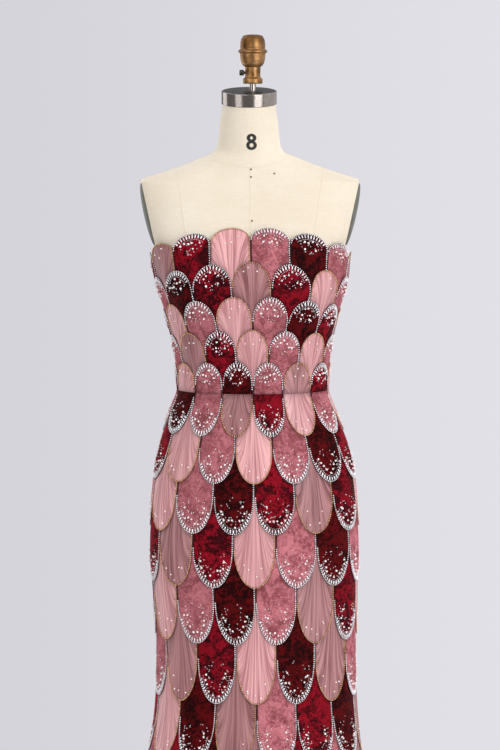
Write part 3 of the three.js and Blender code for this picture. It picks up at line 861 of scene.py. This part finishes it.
def inset(layout, facts, angle, distance):
    # Ellipse coordinates a real distance inside the edge, straight towards the tip's centre, which
    # lies below the notches on a tip that is shallower than it is wide
    width = girthAt(layout.notch(facts["row"], facts["centre"]))[:, None] / gown["scalesRound"] / 2
    depth = layout.free(facts["row"], facts["centre"])[:, None]
    across, up = np.sin(angle), np.cos(angle)
    down = np.minimum(0, 1 - 1.1 * width / depth) - up
    share = np.minimum(distance / np.hypot(width * across, depth * down), 0.95)
    return across * (1 - share), up + down * share


def laid(layout, facts, u, w, lift, du, dw):
    # Centres, axes towards (du, dw) and outward normals of beads at (u, w) on the scales
    here, s, z = onScale(layout, facts, u, w, lift)
    above, _, _ = onScale(layout, facts, u, w, lift + 5 * mm)
    ahead, _, _ = onScale(layout, facts, u + du, w + dw, lift)
    normal, axis = unit(above - here), ahead - here
    axis = unit(axis - normal * (axis * normal).sum(-1, keepdims=True))
    return here, axis, normal, s, z


def withinCut(facts, u, margin):
    # Whether u is inside a scale's own limits by this margin
    return (u > facts["low"][:, None] + margin) & (u < facts["high"][:, None] - margin)


def seedRow(layout, facts, own):
    # A line of seeds along each edge, and along the right side to the row before
    angle = edgeAngles(layout, facts, own)
    u, w = inset(layout, facts, angle, own["inset"])
    free = layout.free(facts["row"], facts["centre"])[:, None]
    side = -(np.arange(own["sideSeeds"]) + 0.5) * own["spacing"] / free
    u = np.concatenate([u, 0 * side + own["sideAt"]], 1)
    w = np.concatenate([w, side], 1)
    du = np.concatenate([np.cos(angle), 0 * side], 1) * 0.004
    dw = np.concatenate([-np.sin(angle), 0 * side - 1], 1) * 0.004
    here, axis, normal, s, z = laid(layout, facts, u, w, own["radius"] * 0.5, du, dw)
    root = layout.root(facts["row"][:, None] + np.zeros(s.shape, int), s)
    shown = withinCut(facts, u, 0) & (layout.up * (z - root) > scale["tuck"] * 0.9)
    size = own["radius"] * np.array([1.0, 0.95, 0.85]) * rng.uniform(0.85, 1.1, (shown.sum(), 1))
    return here[shown], axis[shown], normal[shown], size


def bugleRow(layout, facts, own):
    # Short tubes that stand square to the edge round each velvet tip, shorter towards its sides
    angle = edgeAngles(layout, facts, own)
    taper = 1 - 0.35 * (np.abs(angle) / own["span"]) ** 2
    u, w = inset(layout, facts, angle, own["inset"])
    innerU, innerW = inset(layout, facts, angle, own["inset"] + own["length"] * taper)
    lift = own["radius"] * 0.75
    start, axis, normal, _, _ = laid(layout, facts, u, w, lift, innerU - u, innerW - w)
    end, _, _ = onScale(layout, facts, innerU, innerW, lift)
    shown = withinCut(facts, u, 0.02)
    half = (np.linalg.norm(end - start, axis=-1) / 2)[shown]
    radius = own["radius"] * rng.uniform(0.9, 1.1, len(half))
    centre = start[shown] + axis[shown] * half[:, None]
    return centre, axis[shown], normal[shown], np.stack([half * 0.93, radius, radius], -1)


def scatterRow(layout, facts, own):
    # Beads on arcs inside the rim of each tip; play moves them about
    angle = edgeAngles(layout, facts, own)
    angle = angle + rng.uniform(-own["play"], own["play"], angle.shape)
    near, far = own["inset"]
    depth = near + (far - near) * rng.uniform(0, 1, angle.shape) ** 1.6
    u, w = inset(layout, facts, angle, depth)
    du, dw = 0.01 * np.cos(angle), -0.01 * np.sin(angle)
    here, axis, normal, _, _ = laid(layout, facts, u, w, own["radius"] * 0.6, du, dw)
    shown = withinCut(facts, u, 0.05)
    size = own["radius"] * rng.uniform(0.85, 1.1, (shown.sum(), 1)) * np.ones(3)
    return here[shown], axis[shown], normal[shown], size


seeds = {
    "spacing": 3.4 * mm,
    "radius": 1.25 * mm,
    "inset": 1.1 * mm,
    "span": math.pi / 2,
    "sideSeeds": 16,  # more than the longest side takes; those under the row before are left out
    "sideAt": 0.965,  # their u
}
bugles = {"spacing": 5.3 * mm, "radius": 1.15 * mm, "inset": 2.4 * mm, "length": 5.2 * mm,
          "span": math.radians(62)}
arcs = {"spacing": 3.4 * mm, "radius": 0.8 * mm, "inset": (9.4 * mm, 9.4 * mm), "span": 1.1,
        "play": 0.01}
pearls = {"spacing": 9.5 * mm, "radius": 1.9 * mm, "inset": (11.5 * mm, 24 * mm), "span": 1.1,
          "play": 0.05}
dots = {"spacing": 3.6 * mm, "radius": 1.0 * mm, "inset": (10.5 * mm, 34 * mm), "span": 1.3,
        "play": 0.06}
drops = {"spacing": 15 * mm, "radius": 1.5 * mm, "inset": (8 * mm, 26 * mm), "span": 0.9,
         "play": 0.2}
trims = [  # name, whether on organza, way of laying, settings, shape and finish
    ("seeds_silver", False, seedRow, seeds, pearlShape(6, 2), silverBead),
    ("seeds_gold", True, seedRow, seeds, pearlShape(6, 2), goldBead),
    ("bugles", False, bugleRow, bugles, bugleShape(), silverBead),
    ("arcs", False, scatterRow, arcs, dotShape(), silverBead),
    ("pearls", False, scatterRow, pearls, pearlShape(), pearlBead),
    ("dots", False, scatterRow, dots, dotShape(), silverBead),
    ("drops", True, scatterRow, drops, pearlShape(), pearlBead),
]
formPiece = "form_canvas"

for part, layout in layouts.items():
    facts = scaleList(layout)
    kinds = dyeOf(facts, part, 0 if part == "bodice" else 2)
    # The halves on the centre back go to its two sides, and the side seams' scales to the front
    side = facts["centre"] + np.where(facts["low"] > 0, 1e-4, -1e-4) * (facts["centre"] > 0.49)
    panelOf = np.where(np.abs(side) < 0.2501, 0, np.where((side > 0) & (side < 0.5), 1, 2))
    for index, (name, (low, high)) in enumerate(panels.items()):
        inPanel = panelOf == index
        ground, flat, area = groundPanel(part, name, low, high)
        scales = scaleMesh(part, name, subset(facts, inPanel), kinds[inPanel])
        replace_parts(ground, f"{part}_{name}")
        print(ground.name, "flat", [round(x, 3) for x in flat], "area", round(area, 4),
              "with", int(inPanel.sum()), "scales")
    isOrganza = np.array([row[2] for row in dyes.values()])[kinds] > 0.5
    for name, onOrganza, lay, own, shape, finish in trims:
        rows = [np.flatnonzero((isOrganza == onOrganza) & (facts["row"] == row))
                for row in range(layout.rows)]
        made = [lay(layout, subset(facts, row), own) for row in rows if len(row)]
        beadMesh(f"{name}_{part}", shape, *map(np.concatenate, zip(*made)), finish, "gown_cloth")
print("gown made")


# The dress form

form = {"bottom": 0.800, "top": 1.575, "columns": 224, "step": 3.5 * mm}
armhole = {"z": 1.363, "halfWidth": 0.1629, "lean": math.radians(12.5), "y": 0.003}
armPlate = {"halfHeight": 0.052, "halfDepth": 0.042, "rim": 1.6 * mm, "dome": 6.5 * mm}
cap = {"radius": 0.0443, "height": 0.021, "tip": math.radians(7.5), "x": -0.006, "z": 1.541}


def armAxes(side):
    # The armhole's centre, its outward normal and its upward direction
    sin, cos = math.sin(armhole["lean"]), math.cos(armhole["lean"])
    x = float(smoothColumn("shift", armhole["z"])) + side * armhole["halfWidth"]
    centre = np.array([x, armhole["y"], armhole["z"]])
    return centre, np.array([side * cos, 0, -sin]), np.array([side * sin, 0, cos])


def capPlace(points, lift=0.0):
    # Tips a piece made at the origin towards the front and lifts it to the neck
    sin, cos = math.sin(cap["tip"]), math.cos(cap["tip"])
    x, y, z = (points + (0, 0, lift)).T
    return np.stack([x + cap["x"], y * cos - z * sin, y * sin + z * cos + cap["z"]], -1)


def formMesh():
    # The body's surface, cut flat at the armholes and the neck and closed there
    z = np.arange(form["bottom"], form["top"], form["step"])
    points = bodyPoint(np.arange(form["columns"])[None] / form["columns"], z[:, None])
    mesh = bpy.data.meshes.new(formPiece)
    faces = gridFaces(len(z), form["columns"], closed=True)
    mesh.from_pydata(points.reshape(-1, 3).tolist(), [], faces.tolist())
    edit = bmesh.new()
    edit.from_mesh(mesh)
    neckNormal = (0, -math.sin(cap["tip"]), math.cos(cap["tip"]))
    neckPoint = (cap["x"], 0, cap["z"] - gown["seamGap"])
    for point, normal in (armAxes(-1)[:2], armAxes(1)[:2], (neckPoint, neckNormal)):
        bmesh.ops.bisect_plane(
            edit, geom=edit.verts[:] + edit.edges[:] + edit.faces[:],
            plane_co=Vector(point), plane_no=Vector(normal), clear_outer=True,
        )
        bmesh.ops.holes_fill(edit, edges=[e for e in edit.edges if e.is_boundary], sides=0)
    edit.to_mesh(mesh)
    edit.free()
    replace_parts(pieceFrom(mesh, canvas, creaseAngle=38), "form_body")


def armPlatePiece(name, side):
    # An oval dome: a quarter turn from rim to pole, carried round the oval
    centre, outwards, upwards = armAxes(side)
    bend = np.linspace(0, np.pi / 2, 14)
    bead = [(0, 0), (1.0, 0), (1.012, 0.0006), (1.012, 0.0013), (1.0, armPlate["rim"])]
    dome = np.stack([np.cos(bend), armPlate["rim"] + armPlate["dome"] * np.sin(bend)], -1)
    dome[:, 0] = np.minimum(dome[:, 0], 0.985)
    dome[-1, 0] = 0

    def place(points):
        # x goes up the oval, y across it and z outwards
        up, depth, out = points[:, :1], points[:, 1:2], points[:, 2:] + gown["seamGap"]
        oval = up * armPlate["halfHeight"] * upwards + depth * armPlate["halfDepth"] * (0, 1, 0)
        return centre + oval + out * outwards

    profile = np.concatenate([bead, dome])
    piece = turnedPiece(name, profile, 72, plateMetal, place)
    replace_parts(piece, name.replace("metal_", ""))


formMesh()
for side, name in ((-1, "metal_arm_plate_left"), (1, "metal_arm_plate_right")):
    armPlatePiece(name, side)

seams = {
    "radius": 0.55 * mm,
    "lift": -0.2 * mm,
    "points": 160,
    "sides": 8,
    "front": (1.325, 0.115),  # lowest height and rise, as in the next two
    "back": (1.23, 0.3125),
    "shoulder": (1.417, 0.118),
    "neck": (0.058, 1.4405, 0.012),  # half width, height in the middle and rise to the ends
    "princess": (1.432, 0.13, 0.117, 0.019),  # top, fall, x at the top and how far it draws in
}


def seamAlong(name, s, z):
    # A round cord sunk a little into the body, along points (s, z)
    middle = bodyPoint(s, z, seams["lift"])
    normal = unit(bodyPoint(s, z, seams["lift"] + 5 * mm) - middle)
    along = unit(np.gradient(middle, axis=0))
    side = unit(np.cross(normal, along))
    normal = np.cross(along, side)
    angle = turns(seams["sides"])[:, None]
    tube = middle[:, None] + seams["radius"] * (
        side[:, None] * np.cos(angle) + normal[:, None] * np.sin(angle)
    )
    ends = np.repeat(tube[[0, -1]].mean(1)[:, None], seams["sides"], 1)
    points = np.concatenate([ends[:1], tube, ends[1:]])
    mesh = mergedMesh(name, points, gridFaces(len(points), seams["sides"], closed=True))
    pieceFrom(mesh, seamThread)


rise = np.linspace(0, 1, seams["points"])
seamAlong("seam_centre_front", 0 * rise, seams["front"][0] + seams["front"][1] * rise)
seamAlong("seam_centre_back", 0.5 + 0 * rise, seams["back"][0] + seams["back"][1] * rise)
for side, name in ((-0.25, "left"), (0.25, "right")):
    z = seams["shoulder"][0] + seams["shoulder"][1] * rise
    seamAlong(f"seam_shoulder_{name}", side + 0 * rise, z)
across = np.linspace(-1, 1, seams["points"])
neckHalf, neckLow, neckRise = seams["neck"]
neckZ = neckLow + neckRise * across ** 2
seamAlong("seam_neck_front", shareAt(neckHalf * across + cap["x"], neckZ), neckZ)
for side, name in ((-1, "left"), (1, "right")):
    high, fall, out, drawnIn = seams["princess"]
    z = high - fall * rise
    seamAlong(f"seam_princess_{name}", shareAt(side * (out - drawnIn * rise) - 0.005, z), z)
    seamAlong(f"seam_princess_back_{name}", 0.5 - side * (0.14 + 0.02 * rise), z - 0.02)


# The plain size numeral, printed on the neck as two rings of ink. Each ring is how far up it lies,
# its half width and its half height.
numeral = {
    "x": -0.0021,
    "z": 1.4814,
    "lift": 0.35 * mm,
    "sunk": -0.6 * mm,
    "rings": [(5.7 * mm, 7.7 * mm, 6.8 * mm), (-6.0 * mm, 8.5 * mm, 7.6 * mm)],
    "stroke": 5.4 * mm,
    "points": 64,
}


def numeralRing(name, up, halfWidth, halfHeight):
    # Four ellipses, outer and inner, sunk and lifted, joined in a closed loop
    angle = turns(numeral["points"])
    stroke = numeral["stroke"] * np.array([0, 0, 1, 1])[:, None]
    lift = np.array([numeral["sunk"], numeral["lift"], numeral["lift"], numeral["sunk"]])[:, None]
    x = numeral["x"] + (halfWidth - stroke) * np.cos(angle)
    z = numeral["z"] + up + (halfHeight - stroke * 0.8) * np.sin(angle)
    points = bodyPoint(shareAt(x, z), z, lift + 0 * x)
    faces = gridFaces(5, len(angle), closed=True)[:, ::-1] % x.size
    meshFrom(name, points.reshape(-1, 3), faces, ink, creaseAngle=40)


for index, ring in enumerate(numeral["rings"]):
    numeralRing(f"numeral_ring_{index}", *ring)

pins = np.array([(-0.0029, 1.4372), (-0.0029, 1.4252), (-0.0013, 1.3565), (0.0343, 1.4306)])
pinAt = bodyPoint(shareAt(*pins.T), pins[:, 1], 0.3 * mm)
beadMesh("pin_heads", pearlShape(12, 7), pinAt, (1.0, 0, 0), (0, -1.0, 0), 1.4 * mm, ink, "canvas")
print("form made")


# Neck cap, rod, finial and thumb screw

rod = {"radius": 5.3 * mm, "top": 1.5997}
radius, height = cap["radius"], cap["height"]
capProfile = rounded([
    (0, 0), (radius, 0), (radius, height - 0.6 * mm), (radius - 1.2 * mm, height), (0, height),
], 0.5 * mm)
capPiece = turnedPiece("steel_neck_cap", capProfile, 128, steel, capPlace)
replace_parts(capPiece, "neck_cap")


def lidPlace(points):
    # The lid lies on the cap's top
    return capPlace(points, cap["height"])


lidProfile = rounded([
    (0, 0.02 * mm), (radius - 2.6 * mm, 0.02 * mm), (radius - 3 * mm, 0.5 * mm), (0, 0.5 * mm),
], 0.2 * mm)
turnedPiece("neck_cap_lid", lidProfile, 96, darkSteel, lidPlace)


def rodPlace(points):
    # The foot of the rod is cut to the cap's slope
    x, y, z = points.T
    foot = cap["z"] + cap["height"] / math.cos(cap["tip"]) + y * math.tan(cap["tip"])
    return np.stack([x, y, np.where(z < 0.5, foot + gown["seamGap"], rod["top"])], -1)


rodProfile = [(0, 0), (rod["radius"], 0), (rod["radius"], 1), (0, 1)]
rodPiece = turnedPiece("steel_rod", rodProfile, 64, steel, rodPlace)
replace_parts(rodPiece, "neck_rod")

finial = {
    "boreRadius": 5.7 * mm,
    "boreTop": 1.600,
    "outline": [  # radius and height, in millimetres
        (15, 1573.1), (15.8, 1574.9), (15.8, 1581), (12.6, 1583.1), (12.2, 1586.8),
        (12.4, 1599.9), (15.5, 1602.1), (17.8, 1605.4), (19.8, 1611.9), (20.4, 1622.1),
        (23.6, 1623.5), (23.4, 1625.9), (19.6, 1629), (20.3, 1632.6), (19.8, 1639.4),
        (18.5, 1645.2), (15, 1650.2), (8, 1651.8), (0, 1652),
    ],
}
outline = np.array(finial["outline"]) * mm
bore = finial["boreRadius"]
finialProfile = np.concatenate([
    [(0, finial["boreTop"]), (bore, finial["boreTop"]), (bore, outline[0, 1])],
    rounded(outline, 1.1 * mm, 5),
])
finialPiece = turnedPiece("bronze_finial", finialProfile, 128, bronze, creaseAngle=50)
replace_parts(finialPiece, "finial")

screw = {
    "z": 1.5908,
    "shank": 2.0 * mm,
    "head": 4.7 * mm,
    "face": 3.7 * mm,
    "neck": 13.4 * mm,
    "end": 21.6 * mm,
    "ridges": 22,
    "ridgeDepth": 0.14 * mm,
    "ridgesFrom": 4.2 * mm,
}


def screwPlace(points):
    # Lays the screw along -X, and its radius follows a small cosine round the turn of its head
    x, y, z = points.T
    radius, turn = np.hypot(x, y), np.arctan2(y, x)
    ridge = screw["ridgeDepth"] * (np.cos(screw["ridges"] * turn) - 1)
    radius = radius + ridge * (radius > screw["ridgesFrom"])
    return np.stack([-z, radius * np.cos(turn), screw["z"] + radius * np.sin(turn)], -1)


screwFoot = rod["radius"] + gown["seamGap"]
screwProfile = rounded([
    (0, screwFoot), (screw["shank"], screwFoot), (screw["shank"], screw["neck"]),
    (screw["face"], screw["neck"] + 1 * mm), (screw["head"], screw["neck"] + 2 * mm),
    (screw["head"], screw["end"] - 1 * mm), (screw["face"], screw["end"]), (0, screw["end"]),
], 0.4 * mm)
screwPiece = turnedPiece(
    "knurled_thumb_screw", screwProfile, 176, darkSteel, screwPlace, "thumb_screw"
)
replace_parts(screwPiece, "thumb_screw")

grub = {"x": 9.7 * mm, "z": 1.5961, "radius": 1.3 * mm, "depth": 0.4 * mm, "from": 12.35 * mm}
grubY = -math.sqrt(grub["from"] ** 2 - grub["x"] ** 2)
beadMesh(
    "finial_grub_screw", pearlShape(12, 7), np.array([[grub["x"], grubY, grub["z"]]]), (0, 0, 1.0),
    unit(np.array([grub["x"], grubY, 0])), (grub["radius"], grub["radius"], grub["depth"]),
    darkSteel, "bronze",
)
print("neck fittings made")


# The stand

stand = {
    "reach": 0.235,
    "width": 0.046,
    "thickness": 0.014,
    "hubRadius": 0.042,
    "hubHeight": 0.046,
    "hubRim": 8 * mm,
    "pole": 0.014,
    "edge": 2.5 * mm,
}
pole, rim = stand["pole"], stand["hubRim"]
low, high = stand["thickness"] + gown["seamGap"], form["bottom"] - gown["seamGap"]
poleProfile = rounded([(0, low), (pole, low), (pole, high), (0, high)], 1 * mm)
polePiece = turnedPiece("painted_pole", poleProfile, 64, standPaint)
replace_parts(polePiece, "stand_pole")
bore, top = pole + gown["seamGap"], stand["thickness"] + stand["hubHeight"]
hubOutline = rounded([
    (bore, low), (stand["hubRadius"], low), (stand["hubRadius"], low + rim), (bore + rim, top),
    (bore, top),
], 2 * mm)
hubProfile = np.concatenate([hubOutline, hubOutline[:1]])
hubPiece = turnedPiece("painted_hub", hubProfile, 72, standPaint)
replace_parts(hubPiece, "stand_hub")


def legsPiece():
    # A cross of four legs with round ends: half circles joined by straight sides, as complex
    # numbers, which a power of i turns by quarters
    half = stand["width"] / 2
    tip = half * np.exp(1j * np.linspace(0, np.pi, 25)) + 1j * (stand["reach"] - half)
    leg = np.append(tip, half * (-1 + 1j))
    outline = np.concatenate([leg * 1j ** quarter for quarter in range(4)])
    count = len(outline)
    i = np.arange(count)
    low, high = (
        np.stack([outline.real, outline.imag, 0 * i + z], -1) for z in (0, stand["thickness"])
    )
    sides = np.stack([i, (i + 1) % count, (i + 1) % count + count, i + count], -1)
    mesh = bpy.data.meshes.new("painted_legs")
    faces = [i[::-1].tolist(), (i + count).tolist(), *sides.tolist()]
    mesh.from_pydata(np.concatenate([low, high]), [], faces)
    piece = pieceFrom(mesh, standPaint, creaseAngle=30)
    bevel = piece.modifiers.new("soft edges", "BEVEL")
    bevel.width = stand["edge"]
    bevel.segments = 3
    bevel.limit_method = "ANGLE"
    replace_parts(piece, "stand_legs")


legsPiece()

# The zip's coil, in the slit of the centre back; its slider and pull are the part's own
coil = {"top": 1.228, "bottom": 0.905, "pitch": 1.3 * mm, "half": 0.5 * mm, "radius": 0.35 * mm}
coilZ = np.arange(coil["bottom"], coil["top"], coil["pitch"])
coilAt = bodyPoint(0.5, coilZ, baseOut + coil["radius"])
coilOut = unit(bodyPoint(0.5, coilZ, baseOut + 5 * mm) - coilAt)
coilSize = (coil["half"], coil["radius"], coil["radius"])
beadMesh("zip_coil", bugleShape(), coilAt, (1.0, 0, 0), coilOut, coilSize, zipMetal, "zip_metal")
for name in ("zip_slider", "zip_pull"):
    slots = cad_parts[name].data.materials
    slots.clear()
    slots.append(zipMetal)
print("stand and zip made")


# Floor, light and camera

# Each box of light is its azimuth and half width in degrees, and its strength
studio = {
    # The wall's two colours, left and right: a painted light gradient
    "wall": ("#d4d3d9", "#e2e1e7"),
    "air": "#fbfaff",
    "room": 0.24,
    "above": 0.55,
    "boxes": [(41, 17, 2.3), (-46, 14, 1.3), (-125, 16, 1.3), (110, 45, 0.5)],
    "boxFade": 4,
    "floorRadius": 2.3,
    "floorGrid": (24, 96),
    "aim": (-0.0045, 0.0, 1.1027),
    "elevation": math.radians(5),
    "distance": 6.0,
    "lens": 177.8,
    "lights": [  # place, width, power, colour
        ((1.3, -2.2, 1.9), 0.8, 13.3, "#f5f8ff"),
        ((-0.8, -2.4, 2.1), 0.8, 8.0, "#ffffff"),
        ((1.7, 2.8, 2.6), 1.4, 60.0, "#ffffff"),
        ((-1.9, 2.6, 2.2), 1.4, 40.0, "#ffffff"),
    ],
}


def floorFinish():
    # Pale and matt, fading into the background at its rim
    f = Finish("paleFloor")
    x, y, _ = f.parts(f.place())
    away = (x ** 2.0 + y ** 2.0) ** 0.5
    pale = f.mix(f.noise(0.5), colour("#dfdfe4"), colour("#e4e4e9"))
    plain = f.shader(Base_Color=pale, Roughness=0.8)
    clear = f.node("ShaderNodeBsdfTransparent")
    return f.done(f.node("ShaderNodeMixShader", None, [away.ramp(0.9, 2.25), plain, clear]))


rings, columns = studio["floorGrid"]
radii, angle = np.linspace(0.001, studio["floorRadius"], rings)[:, None], turns(columns)
points = np.stack([radii * np.cos(angle), radii * np.sin(angle), 0 * radii * angle - 0.0005], -1)
faces = gridFaces(rings, columns, closed=True)
floor = meshFrom("floor", points.reshape(-1, 3), faces, floorFinish(), None)


def softBox(azimuth, height, centre, halfWidth, strength):
    # Light from a band of directions, faded at its edges, above and below
    away = (azimuth - math.radians(centre)).distance()
    low, high = halfWidth - studio["boxFade"], halfWidth + studio["boxFade"]
    band = 1 - away.ramp(math.radians(low), math.radians(high))
    return band * height.ramp(-0.6, -0.5) * (1 - height.ramp(0.8, 0.9)) * strength


def studioWorld(world):
    # The camera sees a pale wall with painted light, a little lighter to the right. The part is lit
    # by soft boxes on a dim room: azimuth is atan(x / -y), 0 towards the camera.
    f = Finish("studio", world)
    x, y, z = f.parts(f.node("ShaderNodeTexCoord"))
    azimuth = x.arctan(y * -1)
    # Painted light: the wall is lighter to the right
    wall = f.mix(x.ramp(-0.09, 0.09), *map(colour, studio["wall"]))
    seen = f.node("ShaderNodeBackground", None, [wall, 1.0])
    room = z.ramp(0.2, 1.0) * studio["above"] + studio["room"]
    room = sum((softBox(azimuth, z, *box) for box in studio["boxes"]), room)
    lit = f.node("ShaderNodeBackground", None, [colour(studio["air"]), room])
    straight = f.node("ShaderNodeLightPath")
    shown = f.node("ShaderNodeMixShader", None, [straight, lit, seen])
    f.node("ShaderNodeOutputWorld", None, [shown])


scene = bpy.context.scene
scene.world = scene.world or bpy.data.worlds.new("studio")
studioWorld(scene.world)
scene.view_settings.view_transform = "Standard"

aim = Vector(studio["aim"])


def placed(name, data, place):
    # An object at this place, turned towards the aim
    holder = bpy.data.objects.new(name, data)
    holder.location = place
    holder.rotation_euler = (aim - Vector(place)).to_track_quat("-Z", "Y").to_euler()
    scene.collection.objects.link(holder)
    return holder


for index, (place, width, power, tint) in enumerate(studio["lights"]):
    lamp = bpy.data.lights.new(f"soft_light_{index}", "AREA")
    lamp.size = width
    lamp.energy = power
    lamp.color = colour(tint)[:3]
    placed(lamp.name, lamp, place).visible_glossy = place[1] < 0

tilt = studio["elevation"]
back = Vector((0, -math.cos(tilt), math.sin(tilt)))
camera = placed("camera", bpy.data.cameras.new("camera"), aim + back * studio["distance"])
camera.data.lens = studio["lens"]
camera.data.sensor_width = 36
scene.camera = camera

print("scene ready")
